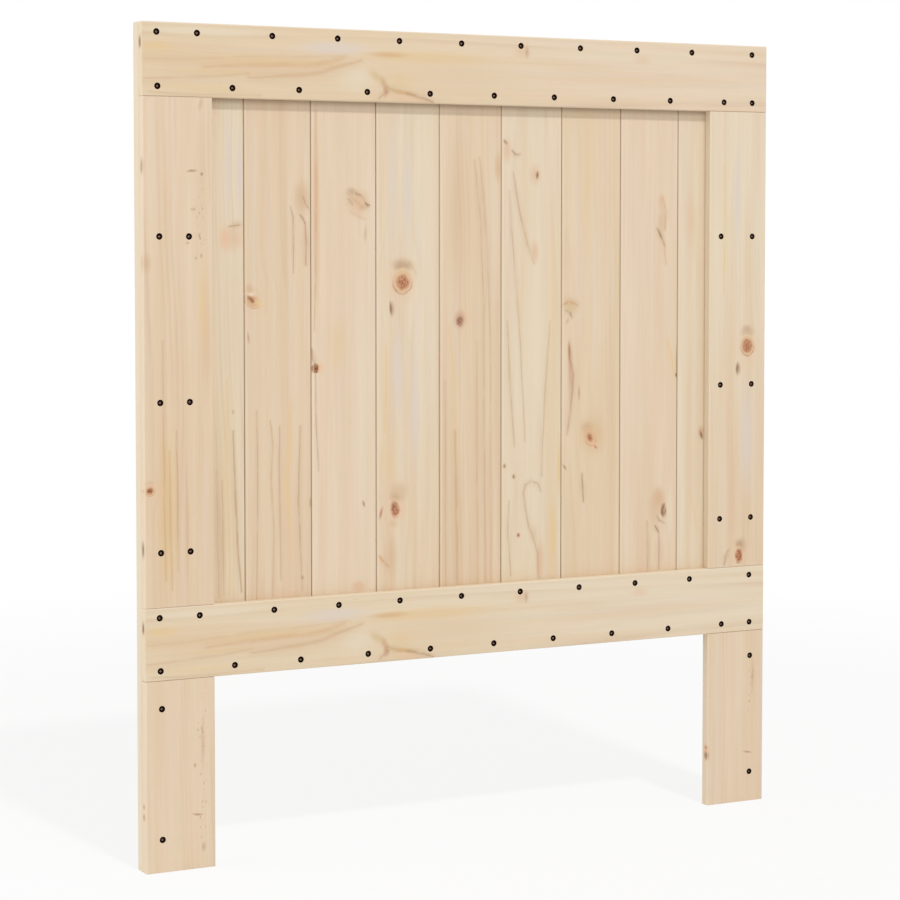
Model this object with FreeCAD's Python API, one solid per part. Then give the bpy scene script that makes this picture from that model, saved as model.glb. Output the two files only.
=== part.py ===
import FreeCAD
import Part
import os

# Pine plank headboard with two short legs, in millimetres.
# +Z is up, +X is to the viewer's right, and the front faces -Y.
# The origin is the centre of the base, in the middle of the thickness.
# Two layers of boards are held together by countersunk screws driven from the front.

# Overall size
overall_width = 905.0
overall_height = 1040.0

# Front layer: rails, stiles and leg boards
front_thickness = 13.0
rail_height = 90.0
stile_width = 91.0
leg_height = 237.0
joint_gap = 0.15          # between a rail and the board that butts against it
front_edge_radius = 1.5   # eased long edges of the front boards
rail_end_radius = 1.0     # eased ends of the two rails
front_end_radius = 0.4    # eased ends of the stiles and leg boards

# Back layer: two posts with a row of planks between them
back_thickness = 17.0
left_post_width = 46.5
right_post_width = 43.1
plank_count = 9
plank_gap = 0.7           # open joint between neighbours in the back layer
post_edge_radius = 1.5
plank_edge_radius = 1.0
back_end_radius = 0.4     # eased ends of the posts and planks

# Screws: flat countersunk heads with a cross recess
head_diameter = 8.0
head_rim = 0.4            # straight edge of the head, above its cone
head_sink = 0.15          # how far the head lies below the board's face
neck_diameter = 3.8
thread_diameter = 4.0
core_diameter = 2.8
thread_pitch = 1.8
thread_length = 15.0
tip_length = 4.0
tip_diameter = 0.6
wood_behind_tip = 5.0     # solid wood left between a screw's tip and the back face
recess_span = 4.2         # across the arms of the cross, at the top
recess_floor_span = 2.2   # across the arms of the cross, at the bottom
recess_arm = 1.1
recess_depth = 1.6

# Clearances round a screw
seat_clearance = 0.05     # between a head and its countersink
hole_clearance = 0.1      # round the thread
tip_clearance = 1.0       # past the tip

# Screw rows on the rails
rail_screw_inset = 12.3   # from the rail's nearer long edge
upper_row_shares = (0.27, 0.37, 0.35, 0.3, 0.28, 0.24, 0.225, 0.185, 0.14)
lower_row_shares = (0.785, 0.77, 0.805, 0.785, 0.81, 0.795, 0.79, 0.77, 0.72)
upper_row_left_post_share = 0.41
upper_row_right_post_share = 0.44
lower_row_left_post_share = 0.43
lower_row_right_post_share = 0.46

# Screw columns on the stiles and leg boards
left_column_post_share = 0.46
right_column_post_share = 0.49
left_lap_share = 0.3      # across the lap of the left stile over the first plank
right_lap_share = 0.384   # across the lap of the right stile over the last plank
stile_screw_height_shares = (0.108, 0.403, 0.728)
leg_screw_height_shares = (0.172, 0.855)

# Lengths used only for cutting and for picking edges
overrun = 5.0
same_place = 0.001

# Planes and lines that follow from the sizes above
left_edge = -overall_width / 2
right_edge = overall_width / 2
front_face = -(front_thickness + back_thickness) / 2
layer_face = front_face + front_thickness
back_face = layer_face + back_thickness
bottom_rail_top = leg_height + rail_height
top_rail_base = overall_height - rail_height
stile_base = bottom_rail_top + joint_gap
stile_top = top_rail_base - joint_gap
leg_top = leg_height - joint_gap
left_stile_inner = left_edge + stile_width
right_stile_inner = right_edge - stile_width
left_post_inner = left_edge + left_post_width
right_post_inner = right_edge - right_post_width
plank_room = right_post_inner - left_post_inner - plank_gap
plank_pitch = plank_room / plank_count
plank_width = plank_pitch - plank_gap
screw_length = front_thickness + back_thickness - wood_behind_tip - head_sink

along_x = FreeCAD.Vector(1, 0, 0)
along_z = FreeCAD.Vector(0, 0, 1)
into_wood = FreeCAD.Vector(0, 1, 0)
origin = FreeCAD.Vector(0, 0, 0)


def runs_along(edge, direction):
    """True for a straight edge that is parallel to the direction."""
    span = edge.lastVertex().Point.sub(edge.firstVertex().Point)
    return span.cross(direction).Length < same_place


def lies_in_end(edge, direction, place):
    """True for an edge that lies wholly in the plane at this place along the direction."""
    box = edge.BoundBox
    low = FreeCAD.Vector(box.XMin, box.YMin, box.ZMin).dot(direction)
    high = FreeCAD.Vector(box.XMax, box.YMax, box.ZMax).dot(direction)
    return abs(low - place) < same_place and abs(high - place) < same_place


def board(low, high, grain, edge_radius, end_radius):
    """A planed board from its low to its high corner, with eased long edges and ends."""
    size = high.sub(low)
    solid = Part.makeBox(size.x, size.y, size.z, low)
    long_edges = [edge for edge in solid.Edges if runs_along(edge, grain)]
    solid = solid.makeFillet(edge_radius, long_edges)
    ends = (low.dot(grain), high.dot(grain))
    end_edges = [edge for edge in solid.Edges if any(lies_in_end(edge, grain, end) for end in ends)]
    return solid.makeFillet(end_radius, end_edges)


def front_board(x_low, x_high, z_low, z_high, grain, end_radius):
    """A board of the front layer."""
    low = FreeCAD.Vector(x_low, front_face, z_low)
    high = FreeCAD.Vector(x_high, layer_face, z_high)
    return board(low, high, grain, front_edge_radius, end_radius)


def back_board(x_low, x_high, z_low, edge_radius):
    """A board of the back layer, which always reaches the top."""
    low = FreeCAD.Vector(x_low, layer_face, z_low)
    high = FreeCAD.Vector(x_high, back_face, overall_height)
    return board(low, high, along_z, edge_radius, back_end_radius)


def turned(outline):
    """A round solid from its outline of (radius, depth) points, turned about the Y axis."""
    points = [FreeCAD.Vector(radius, depth, 0) for radius, depth in outline]
    face = Part.Face(Part.makePolygon(points + points[:1]))
    return face.revolve(origin, into_wood, 360)


def thread_outline(thread_start):
    """The ridges of the thread as (radius, depth) points, from the neck to the tip's cone."""
    core = core_diameter / 2
    crest = thread_diameter / 2
    points = []
    for turn in range(int(thread_length / thread_pitch)):
        root = thread_start + turn * thread_pitch
        points.append((core, root))
        points.append((crest, root + thread_pitch / 3))
        points.append((core, root + thread_pitch * 2 / 3))
    return points


def recess_slot():
    """One of the two tapered slots that make the cross in a head, with its depth along Y."""
    half_top = recess_span / 2
    half_floor = recess_floor_span / 2
    rise = (half_top - half_floor) * overrun / recess_depth
    arm_side = -recess_arm / 2
    outline = (
        (-half_top - rise, -overrun),
        (half_top + rise, -overrun),
        (half_floor, recess_depth),
        (-half_floor, recess_depth),
    )
    points = [FreeCAD.Vector(across, depth, arm_side) for across, depth in outline]
    face = Part.Face(Part.makePolygon(points + points[:1]))
    return face.extrude(FreeCAD.Vector(0, 0, recess_arm))


def screw():
    """One countersunk screw with the middle of its head's top at the origin, pointing along +Y."""
    head = head_diameter / 2
    neck = neck_diameter / 2
    cone_end = head_rim + head - neck
    thread_start = screw_length - tip_length - thread_length
    tip_start = screw_length - tip_length
    outline = [(0, 0), (head, 0), (head, head_rim), (neck, cone_end), (neck, thread_start)]
    outline += thread_outline(thread_start)
    outline += [(core_diameter / 2, tip_start), (tip_diameter / 2, screw_length), (0, screw_length)]
    slot = recess_slot()
    crossing_slot = slot.copy()
    crossing_slot.rotate(origin, into_wood, 90)
    return turned(outline).cut(slot).cut(crossing_slot)


def screw_hole():
    """The countersunk blind hole for one screw, placed like the screw."""
    head = head_diameter / 2 + seat_clearance
    bore = thread_diameter / 2 + hole_clearance
    cone_end = head_rim + head - bore
    depth = screw_length + tip_clearance
    outline = [(0, -overrun), (head, -overrun), (head, head_rim), (bore, cone_end), (bore, depth), (0, depth)]
    return turned(outline)


def plank_left(index):
    """The left edge of a plank, counted from 0 at the left."""
    return left_post_inner + plank_gap + index * plank_pitch


def rail_row(shares, left_post_share, right_post_share, height):
    """One row of rail screws: one in each post and one in each plank."""
    row = [(left_edge + left_post_share * left_post_width, height)]
    for index in range(plank_count):
        share = shares[index % len(shares)]
        row.append((plank_left(index) + share * plank_width, height))
    row.append((right_post_inner + right_post_share * right_post_width, height))
    return row


def rail_screws(rail_base):
    """Both rows of screws of the rail that starts at this height."""
    lower = rail_base + rail_screw_inset
    upper = rail_base + rail_height - rail_screw_inset
    top_row = rail_row(upper_row_shares, upper_row_left_post_share, upper_row_right_post_share, upper)
    low_row = rail_row(lower_row_shares, lower_row_left_post_share, lower_row_right_post_share, lower)
    return top_row + low_row


def column(place, base, top, shares):
    """Screws one above another, at shares of the height of the board they go through."""
    return [(place, base + share * (top - base)) for share in shares]


def screw_places():
    """The (x, z) places of the screws, by the name of the front board they go through."""
    left_column = left_edge + left_column_post_share * left_post_width
    right_column = right_post_inner + right_column_post_share * right_post_width
    left_lap = left_post_inner + left_lap_share * (left_stile_inner - left_post_inner)
    right_lap = right_stile_inner + right_lap_share * (right_post_inner - right_stile_inner)
    stile = (stile_base, stile_top, stile_screw_height_shares)
    leg = (0, leg_top, leg_screw_height_shares)
    return {
        "top_rail": rail_screws(top_rail_base),
        "bottom_rail": rail_screws(leg_height),
        "left_stile": column(left_column, *stile) + column(left_lap, *stile),
        "right_stile": column(right_column, *stile) + column(right_lap, *stile),
        "left_leg_board": column(left_column, *leg),
        "right_leg_board": column(right_column, *leg),
    }


def front_layer():
    """The six front boards by name, before their screw holes."""
    stile_span = (stile_base, stile_top)
    leg_span = (0, leg_top)
    return {
        "top_rail": front_board(
            left_edge, right_edge, top_rail_base, overall_height, along_x, rail_end_radius),
        "bottom_rail": front_board(
            left_edge, right_edge, leg_height, bottom_rail_top, along_x, rail_end_radius),
        "left_stile": front_board(
            left_edge, left_stile_inner, *stile_span, along_z, front_end_radius),
        "right_stile": front_board(
            right_stile_inner, right_edge, *stile_span, along_z, front_end_radius),
        "left_leg_board": front_board(
            left_edge, left_stile_inner, *leg_span, along_z, front_end_radius),
        "right_leg_board": front_board(
            right_stile_inner, right_edge, *leg_span, along_z, front_end_radius),
    }


def back_layer():
    """The two posts and the row of planks by name, before their screw holes."""
    boards = {
        "left_post": back_board(left_edge, left_post_inner, 0, post_edge_radius),
        "right_post": back_board(right_post_inner, right_edge, 0, post_edge_radius),
    }
    for index in range(plank_count):
        left = plank_left(index)
        boards[f"plank_{index + 1}"] = back_board(left, left + plank_width, leg_height, plank_edge_radius)
    return boards


def placed(pattern, places):
    """Copies of one screw or hole at the places, seated in the front face."""
    copies = []
    for x, z in places:
        copy = pattern.copy()
        copy.translate(FreeCAD.Vector(x, front_face + head_sink, z))
        copies.append(copy)
    return copies


def drilled(solid, hole, places):
    """A board with the holes of the screws that pass through or into it."""
    box = solid.BoundBox
    inside = [(x, z) for x, z in places if box.XMin < x < box.XMax and box.ZMin < z < box.ZMax]
    return solid.cut(placed(hole, inside))


def main():
    """Build every piece and write one file for each."""
    os.makedirs("parts", exist_ok=True)
    hole = screw_hole()
    fastener = screw()
    places = screw_places()
    every_place = [place for board_places in places.values() for place in board_places]
    pieces = {}
    for name, solid in front_layer().items():
        pieces[name] = drilled(solid, hole, places[name])
    for name, solid in back_layer().items():
        pieces[name] = drilled(solid, hole, every_place)
    for name, board_places in places.items():
        group = name.replace("_board", "") + "_screws"
        pieces[group] = Part.makeCompound(placed(fastener, board_places))
    for name, shape in pieces.items():
        shape.exportStep(f"parts/{name}.step")
        print(f"{name}: {len(shape.Solids)} solids, {shape.Volume:.0f} mm3, valid {shape.isValid()}")


main()
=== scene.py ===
import math

import bpy
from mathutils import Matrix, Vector


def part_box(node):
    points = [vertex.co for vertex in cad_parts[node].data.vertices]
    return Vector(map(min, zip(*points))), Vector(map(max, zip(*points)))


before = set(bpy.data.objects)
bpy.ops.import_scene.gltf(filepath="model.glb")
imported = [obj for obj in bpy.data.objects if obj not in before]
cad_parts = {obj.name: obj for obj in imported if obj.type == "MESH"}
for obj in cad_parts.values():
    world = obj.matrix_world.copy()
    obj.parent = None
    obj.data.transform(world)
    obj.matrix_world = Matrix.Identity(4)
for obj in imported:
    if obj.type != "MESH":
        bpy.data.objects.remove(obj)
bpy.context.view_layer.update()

# Dressed view of a pine plank headboard. Metres, +Z up, the front faces -Y.
# Every board keeps its CAD solid and gets a pine of its own: growth rings round a heart that
# lies behind the board, and the knots, streaks and bark marks that the photograph shows on it.

mm = 0.001
scene = bpy.context.scene

# Picture that the pixel places below are read from
picture_size = 900
picture_middle = picture_size / 2

# Camera that took the photograph, level and with its horizon high in the picture
photo_place = Vector((-1.4871, -2.8597, 0.7871))
photo_turn = math.radians(27.044)
photo_focal_px = 2475.1
photo_horizon_px = 230.4

# Camera of this scene: the same view with most of the shift turned into tilt
view_place = Vector((-1.5002, -2.8697, 0.7809))
view_turn = math.radians(27.171)
view_tilt = math.radians(-2.844)
view_lens_mm = 99.76
sensor_mm = 36.0
view_shift = -0.10

# Lights
sky_level = 0.645
key_place = Vector((0.1, -8.2, 10.1))
key_size = (0.93, 0.93)
key_watts = 560.0
side_place = Vector((-3.1, 0.15, 1.2))
side_size = (1.6, 2.2)
side_watts = 25.0
aim_height = 0.6

# Floor
floor_radius = 9.0
floor_tone = (0.86, 0.86, 0.855)
floor_wash = 0.8
floor_fade_start = 1.1
floor_fade_end = 2.6


def tone(red, green, blue):
    """A screen colour, 0 to 255, as the linear colour that shaders take."""
    channels = [value / 255 for value in (red, green, blue)]
    linear = [c / 12.92 if c <= 0.04045 else ((c + 0.055) / 1.055) ** 2.4 for c in channels]
    return (*linear, 1.0)


# Pine colours
CREAM = tone(230, 214, 188)
SHELL = tone(230, 210, 184)
STRAW = tone(224, 201, 167)
SAND = tone(223, 197, 165)
LILAC = tone(221, 207, 194)
HONEY = tone(228, 198, 150)
BLUSH = tone(224, 190, 159)
PEACH = tone(234, 190, 155)
TAN = tone(208, 173, 134)
AMBER = tone(208, 162, 113)
SMOKE = tone(180, 144, 110)
RUST = tone(184, 128, 94)
BARK = tone(124, 86, 58)
LINE = tone(194, 157, 119)
# Painted light: a dark brown for painted shade and a pale cream for painted highlights
SHADE = tone(104, 84, 62)
PAINTED_HIGHLIGHT = tone(238, 222, 198)
OLIVE = tone(212, 184, 140)
PLUM = tone(186, 146, 120)
KNOT_BODY = tone(222, 182, 142)
KNOT_RING = tone(203, 156, 116)

# Heart and crack colours of a knot
RED_HEART = (tone(164, 100, 70), tone(206, 152, 120))
DARK_HEART = (tone(112, 80, 48), tone(180, 140, 92))
RUST_HEART = (tone(126, 70, 40), tone(190, 138, 96))
PLUM_HEART = (tone(144, 96, 74), tone(182, 138, 112))

# Screw colours
BLACK = tone(9, 4, 2)
SOOT = tone(20, 12, 8)
RECESS_GREY = tone(205, 168, 148)


class Graph:
    """Adds nodes to a tree and joins them up."""

    def __init__(self, tree):
        self.tree = tree

    def node(self, kind, **settings):
        made = self.tree.nodes.new(kind)
        for name, value in settings.items():
            setattr(made, name, value)
        return made

    def feed(self, socket, value):
        if isinstance(value, bpy.types.NodeSocket):
            self.tree.links.new(value, socket)
        else:
            socket.default_value = value

    def result(self, kind, *values, **settings):
        """A new node's first output, with the values given to its first inputs."""
        made = self.node(kind, **settings)
        for socket, value in zip(made.inputs, values):
            self.feed(socket, value)
        return made.outputs[0]

    def math(self, operation, *values):
        return self.result("ShaderNodeMath", *values, operation=operation)

    def smooth(self, value, start, end, low=0.0, high=1.0):
        """Eases from low to high while value goes from start to end."""
        return self.result("ShaderNodeMapRange", value, start, end, low, high,
                           interpolation_type="SMOOTHSTEP")

    def bump(self, value, start, middle, end):
        """Rises from 0 at start to 1 at middle and falls to 0 at end."""
        rise = self.smooth(value, start, middle)
        fall = self.smooth(value, middle, end, 1.0, 0.0)
        return self.times(rise, fall)

    def plus(self, first, second):
        return self.math("ADD", first, second)

    def minus(self, first, second):
        return self.math("SUBTRACT", first, second)

    def over(self, first, second):
        return self.math("DIVIDE", first, second)

    def times(self, *values):
        product = values[0]
        for value in values[1:]:
            product = self.math("MULTIPLY", product, value)
        return product

    def length(self, x, z):
        """How long a step of x to the side and z upwards is."""
        return self.math("SQRT", self.math("MULTIPLY_ADD", x, x, self.times(z, z)))

    def mix(self, factor, first, second, blend="MIX"):
        made = self.node("ShaderNodeMix", data_type="RGBA", blend_type=blend)
        self.feed(made.inputs[0], factor)
        self.feed(made.inputs[6], first)
        self.feed(made.inputs[7], second)
        return made.outputs[2]

    def vector(self, x, y, z):
        return self.result("ShaderNodeCombineXYZ", x, y, z)

    def swing(self, value, reach):
        """Turns 0 to 1 into -reach to reach."""
        return self.math("MULTIPLY_ADD", value, 2 * reach, -reach)

    def colour(self, red, green, blue):
        return self.result("ShaderNodeCombineColor", red, green, blue)

    def noise(self, vector, detail=2.0, rough=0.5, output="Fac"):
        """Smooth noise between 0 and 1, one bump for each unit of the vector."""
        made = self.node("ShaderNodeTexNoise")
        self.feed(made.inputs["Vector"], vector)
        made.inputs["Scale"].default_value = 1.0
        made.inputs["Detail"].default_value = detail
        made.inputs["Roughness"].default_value = rough
        return made.outputs[output]

    def call(self, group, **values):
        made = self.node("ShaderNodeGroup", node_tree=group)
        for name, value in values.items():
            self.feed(made.inputs[name], value)
        return made.outputs


def empty_graph(owner):
    """The graph of a new material or world, without its usual nodes."""
    owner.use_nodes = True
    owner.node_tree.nodes.clear()
    return Graph(owner.node_tree)


def finish_material(graph, colour, roughness, height, shine, bumps, bump_mm):
    """Ends a material with one shader and a little relief."""
    shader = graph.node("ShaderNodeBsdfPrincipled")
    graph.feed(shader.inputs["Base Color"], colour)
    graph.feed(shader.inputs["Roughness"], roughness)
    shader.inputs["Specular IOR Level"].default_value = shine
    bump = graph.node("ShaderNodeBump")
    bump.inputs["Strength"].default_value = bumps
    bump.inputs["Distance"].default_value = bump_mm * mm
    graph.feed(bump.inputs["Height"], height)
    graph.feed(shader.inputs["Normal"], bump.outputs["Normal"])
    output = graph.node("ShaderNodeOutputMaterial")
    graph.feed(output.inputs["Surface"], shader.outputs["BSDF"])


def new_group(name, numbers, colours=(), out_numbers=(), out_colours=()):
    """A node group with float and colour sockets, its graph, its inputs and its end node."""
    tree = bpy.data.node_groups.new(name, "ShaderNodeTree")
    for names, kind, side in (
        (colours, "NodeSocketColor", "INPUT"),
        (numbers, "NodeSocketFloat", "INPUT"),
        (out_colours, "NodeSocketColor", "OUTPUT"),
        (out_numbers, "NodeSocketFloat", "OUTPUT"),
    ):
        for socket in names:
            tree.interface.new_socket(socket, in_out=side, socket_type=kind)
    graph = Graph(tree)
    start = graph.node("NodeGroupInput").outputs
    end = graph.node("NodeGroupOutput").inputs
    return tree, graph, start, end


def oval(graph, start):
    """Distance from a leaning oval's middle in its own half sizes, and how far up that lies, -1 to 1."""
    off_x = graph.minus(start["Right"], start["X"])
    off_z = graph.minus(start["Up"], start["Z"])
    sine = graph.math("SINE", start["Lean"])
    cosine = graph.math("COSINE", start["Lean"])
    x = graph.math("MULTIPLY_ADD", off_x, cosine, graph.times(off_z, sine))
    back = graph.times(off_x, sine)
    z = graph.minus(graph.times(off_z, cosine), back)
    x = graph.over(x, start["Wide"])
    z = graph.over(z, start["Tall"])
    away = graph.length(x, z)
    rise = graph.over(z, graph.math("MAXIMUM", away, 0.001))
    return away, rise


def make_bend_group():
    """Grain that parts round a knot: gives the across place that the rings are read at."""
    numbers = ("Across", "Along", "X", "Z", "Wide", "Tall")
    group, graph, start, end = new_group("grain_bend", numbers, out_numbers=("Across",))
    away = graph.minus(start["Across"], start["X"])
    along = graph.minus(start["Along"], start["Z"])
    across_reach = 2.4
    along_reach = 3.4
    across_share = graph.over(away, graph.times(start["Wide"], across_reach))
    along_share = graph.over(along, graph.times(start["Tall"], along_reach))
    squares = graph.math("MULTIPLY_ADD", across_share, across_share, graph.times(along_share, along_share))
    pull = graph.math("EXPONENT", graph.times(squares, -1.0))
    graph.feed(end["Across"], graph.minus(start["Across"], graph.times(away, pull)))
    return group


def knot_surround(graph, start, away, ragged, rise):
    """The wood round a knot: a peach glow, and above it a smoky hood with a honey cap under it."""
    glow = graph.math("EXPONENT", graph.times(graph.times(away, away), -0.4))
    colour = graph.mix(graph.times(glow, start["Body"], 0.4), start["Color"], PEACH)
    hood = graph.times(graph.bump(ragged, 0.9, 1.45, 2.3), graph.smooth(rise, 0.7, 1.0), start["Hood"])
    colour = graph.mix(graph.times(hood, 0.65), colour, SMOKE)
    cap = graph.times(graph.bump(ragged, 0.85, 1.08, 1.28), graph.smooth(rise, 0.2, 0.9), start["Hood"])
    return graph.mix(graph.times(cap, 0.6), colour, HONEY)


def make_knot_group():
    """A knot over its surround: ringed body, bark rim that is strongest below, and cracked heart."""
    numbers = ("Right", "Up", "X", "Z", "Wide", "Tall", "Lean",
               "Heart", "Dark", "Body", "Rim", "Hood", "Coarse", "Fine")
    colours = ("Color", "Deep", "Light")
    group, graph, start, end = new_group("knot", numbers, colours, ("Relief",), ("Color",))
    away, rise = oval(graph, start)
    coarse = start["Coarse"]
    ragged = graph.plus(away, graph.swing(coarse, 0.1))
    colour = knot_surround(graph, start, away, ragged, rise)
    # ringed body
    ring = graph.math("MULTIPLY_ADD", graph.math("SINE", graph.times(ragged, 14.0)), 0.5, 0.5)
    body = graph.smooth(ragged, 1.14, 0.66)
    inside = graph.mix(graph.times(ring, 0.65), KNOT_BODY, KNOT_RING)
    colour = graph.mix(graph.times(body, start["Body"]), colour, inside)
    # bark rim
    low_side = graph.smooth(rise, 0.4, -0.7, 0.12)
    uneven = graph.smooth(coarse, 0.3, 0.6, 0.4)
    rim = graph.times(graph.bump(ragged, 0.86, 0.98, 1.1), low_side, uneven, start["Rim"])
    colour = graph.mix(graph.times(rim, 0.85), colour, SMOKE)
    # cracked heart
    heart_away = graph.over(away, start["Heart"])
    heart_away = graph.plus(heart_away, graph.swing(coarse, 0.3))
    heart = graph.smooth(heart_away, 1.3, 0.5)
    cracks = graph.smooth(start["Fine"], 0.42, 0.72)
    cracked = graph.mix(cracks, start["Deep"], start["Light"])
    colour = graph.mix(graph.times(heart, start["Dark"]), colour, cracked)
    relief = graph.minus(graph.times(body, 0.4), rim)
    graph.feed(end["Color"], colour)
    graph.feed(end["Relief"], graph.times(relief, start["Body"]))
    return group


def make_stroke_group():
    """How strongly a place lies on a soft stroke between two points, each with its own half width."""
    numbers = ("Right", "Up", "X", "Z", "X2", "Z2", "Wide", "Wide2", "Broken")
    group, graph, start, end = new_group("stroke", numbers, out_numbers=("Mask",))
    run_x = graph.minus(start["X2"], start["X"])
    run_z = graph.minus(start["Z2"], start["Z"])
    off_x = graph.minus(start["Right"], start["X"])
    off_z = graph.minus(start["Up"], start["Z"])
    dot = graph.math("MULTIPLY_ADD", off_x, run_x, graph.times(off_z, run_z))
    run_squared = graph.math("MULTIPLY_ADD", run_x, run_x, graph.times(run_z, run_z))
    share = graph.result("ShaderNodeClamp", graph.over(dot, run_squared))
    gap_x = graph.minus(off_x, graph.times(share, run_x))
    gap_z = graph.minus(off_z, graph.times(share, run_z))
    gap = graph.length(gap_x, gap_z)
    growth = graph.minus(start["Wide2"], start["Wide"])
    width = graph.math("MULTIPLY_ADD", share, growth, start["Wide"])
    reach = graph.over(gap, width)
    core = graph.times(graph.smooth(reach, 1.0, 0.0), start["Broken"])
    halo_reach = 2.8
    halo_share = 0.3
    halo = graph.smooth(reach, halo_reach, 0.0, 0.0, halo_share)
    graph.feed(end["Mask"], graph.math("MAXIMUM", core, halo))
    return group


def make_patch_group():
    """How strongly a place lies in a leaning oval patch; Edge from 0, soft, to 1, sharp."""
    numbers = ("Right", "Up", "X", "Z", "Wide", "Tall", "Lean", "Edge")
    group, graph, start, end = new_group("patch", numbers, out_numbers=("Mask",))
    away = oval(graph, start)[0]
    outer = graph.math("MULTIPLY_ADD", start["Edge"], -0.35, 1.45)
    inner = graph.times(start["Edge"], 0.85)
    graph.feed(end["Mask"], graph.smooth(away, outer, inner))
    return group


def make_speck_group():
    """Small scattered bark specks inside a soft oval."""
    numbers = ("Right", "Up", "X", "Z", "Wide", "Tall", "Lean")
    group, graph, start, end = new_group("specks", numbers, out_numbers=("Mask",))
    away = oval(graph, start)[0]
    right_scale = 0.3
    up_scale = 0.14
    layer = 3.3
    place = graph.vector(graph.times(start["Right"], right_scale), graph.times(start["Up"], up_scale), layer)
    dots = graph.smooth(graph.noise(place, 2.0, 0.6), 0.6, 0.72)
    graph.feed(end["Mask"], graph.times(dots, graph.smooth(away, 1.0, 0.4)))
    return group


def grain_noise(graph, start, across_mm, along_mm, layer, detail=2.0, rough=0.5, place="Across"):
    """Noise drawn out along the grain; layer keeps one use of it apart from the others."""
    along_layer = 211.0
    point = graph.vector(
        graph.over(start[place], across_mm),
        graph.over(graph.plus(start["Depth"], graph.times(start["Seed"], layer)), across_mm),
        graph.over(graph.plus(start["Along"], graph.times(start["Seed"], along_layer)), along_mm),
    )
    return graph.noise(point, detail, rough)


def ring_lines(graph, start):
    """Growth rings round the heart, which wanders and tapers along the board."""
    wander = grain_noise(graph, start, 160.0, 420.0, 37.0, 1.0, place="Ring Across")
    ripple = grain_noise(graph, start, 30.0, 90.0, 53.0, 1.0, place="Ring Across")
    sway = graph.plus(graph.swing(wander, 13.0), graph.swing(ripple, 1.5))
    off = graph.plus(graph.minus(start["Ring Across"], start["Heart Across"]), sway)
    behind = graph.plus(start["Depth"], start["Heart Depth"])
    deep = graph.plus(behind, graph.times(start["Along"], start["Taper"]))
    turns = graph.over(graph.length(off, deep), start["Ring Gap"])
    year = graph.math("FLOOR", turns)
    within = graph.math("FRACT", turns)
    pick = graph.node("ShaderNodeTexWhiteNoise", noise_dimensions="1D")
    graph.feed(pick.inputs["W"], graph.plus(year, start["Seed"]))
    bold = graph.smooth(pick.outputs["Value"], 0.2, 1.0, 0.1)
    late = graph.times(graph.smooth(within, 0.3, 0.9), graph.smooth(within, 1.0, 0.92))
    fade = graph.smooth(grain_noise(graph, start, 24.0, 200.0, 71.0), 0.32, 0.62, 0.1)
    return graph.times(late, bold, fade, start["Ring Strength"])


def make_pine_group():
    """Plain pine. Places are in millimetres: across and along the board's face, and depth into it."""
    numbers = ("Across", "Ring Across", "Depth", "Along", "Seed", "Heart Across", "Heart Depth",
               "Taper", "Ring Gap", "Ring Strength", "Warmth")
    group, graph, start, end = new_group(
        "pine", numbers, ("Pale", "Warm"), ("Relief", "Roughness"), ("Color",))
    ring_line = ring_lines(graph, start)
    # broad bands of colour along the grain, then fibres
    band = grain_noise(graph, start, 15.0, 420.0, 5.0, 3.0)
    blush = graph.smooth(grain_noise(graph, start, 20.0, 300.0, 11.0), 0.42, 0.7, 0.0, 0.25)
    lilac = graph.smooth(grain_noise(graph, start, 9.0, 330.0, 23.0), 0.52, 0.72, 0.0, 0.25)
    warmth = graph.plus(start["Warmth"], graph.smooth(band, 0.3, 0.7, -0.3, 0.3))
    colour = graph.mix(warmth, start["Pale"], start["Warm"])
    colour = graph.mix(blush, colour, BLUSH)
    colour = graph.mix(lilac, colour, LILAC)
    colour = graph.mix(ring_line, colour, LINE)
    fibre = grain_noise(graph, start, 0.9, 38.0, 1.7, 3.0, 0.6)
    streak = grain_noise(graph, start, 3.4, 150.0, 2.9, 2.0, 0.6)
    shade = graph.plus(graph.smooth(fibre, 0.3, 0.7, 0.99, 1.01),
                       graph.smooth(streak, 0.3, 0.7, -0.012, 0.014))
    pores = graph.smooth(grain_noise(graph, start, 0.8, 9.0, 3.1, 1.0), 0.7, 0.8, 0.0, 0.1)
    shade = graph.minus(shade, pores)
    grey = graph.colour(shade, shade, graph.times(shade, shade))
    graph.feed(end["Color"], graph.mix(1.0, colour, grey, "MULTIPLY"))
    graph.feed(end["Relief"], graph.plus(graph.times(fibre, 0.5), ring_line))
    graph.feed(end["Roughness"], graph.smooth(fibre, 0.2, 0.8, 0.62, 0.5))
    return group


def face_place(pixel, plane_y):
    """Where the photograph's pixel lies on an upright plane, as (x, z) in millimetres."""
    side = (pixel[0] - picture_middle) / photo_focal_px
    rise = (photo_horizon_px - pixel[1]) / photo_focal_px
    ray_x = math.sin(photo_turn) + side * math.cos(photo_turn)
    ray_y = math.cos(photo_turn) - side * math.sin(photo_turn)
    steps = (plane_y - photo_place.y) / ray_y
    return (photo_place.x + steps * ray_x) / mm, (photo_place.z + steps * rise) / mm


def look(heart, taper, gap, rings, pale, warm, shares):
    """A board's plain pine: where the tree's middle lies, across the board and behind its face, how
    much that tapers, the gap between rings and their strength, and the pale and warm colour with
    the share of warm at the top or left end and at the other end."""
    wood = {"Heart Across": heart[0], "Heart Depth": heart[1], "Taper": taper, "Ring Gap": gap,
            "Ring Strength": rings, "Pale": pale, "Warm": warm}
    return wood, shares


# What a board shows. Places are photograph pixels; wide and tall are half sizes in millimetres
# on the board's face, and lean is in degrees, clockwise. Shape is what the mark's group takes.
def oval_shape(wide, tall, lean):
    return {"Wide": wide, "Tall": tall, "Lean": math.radians(-lean)}


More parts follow.
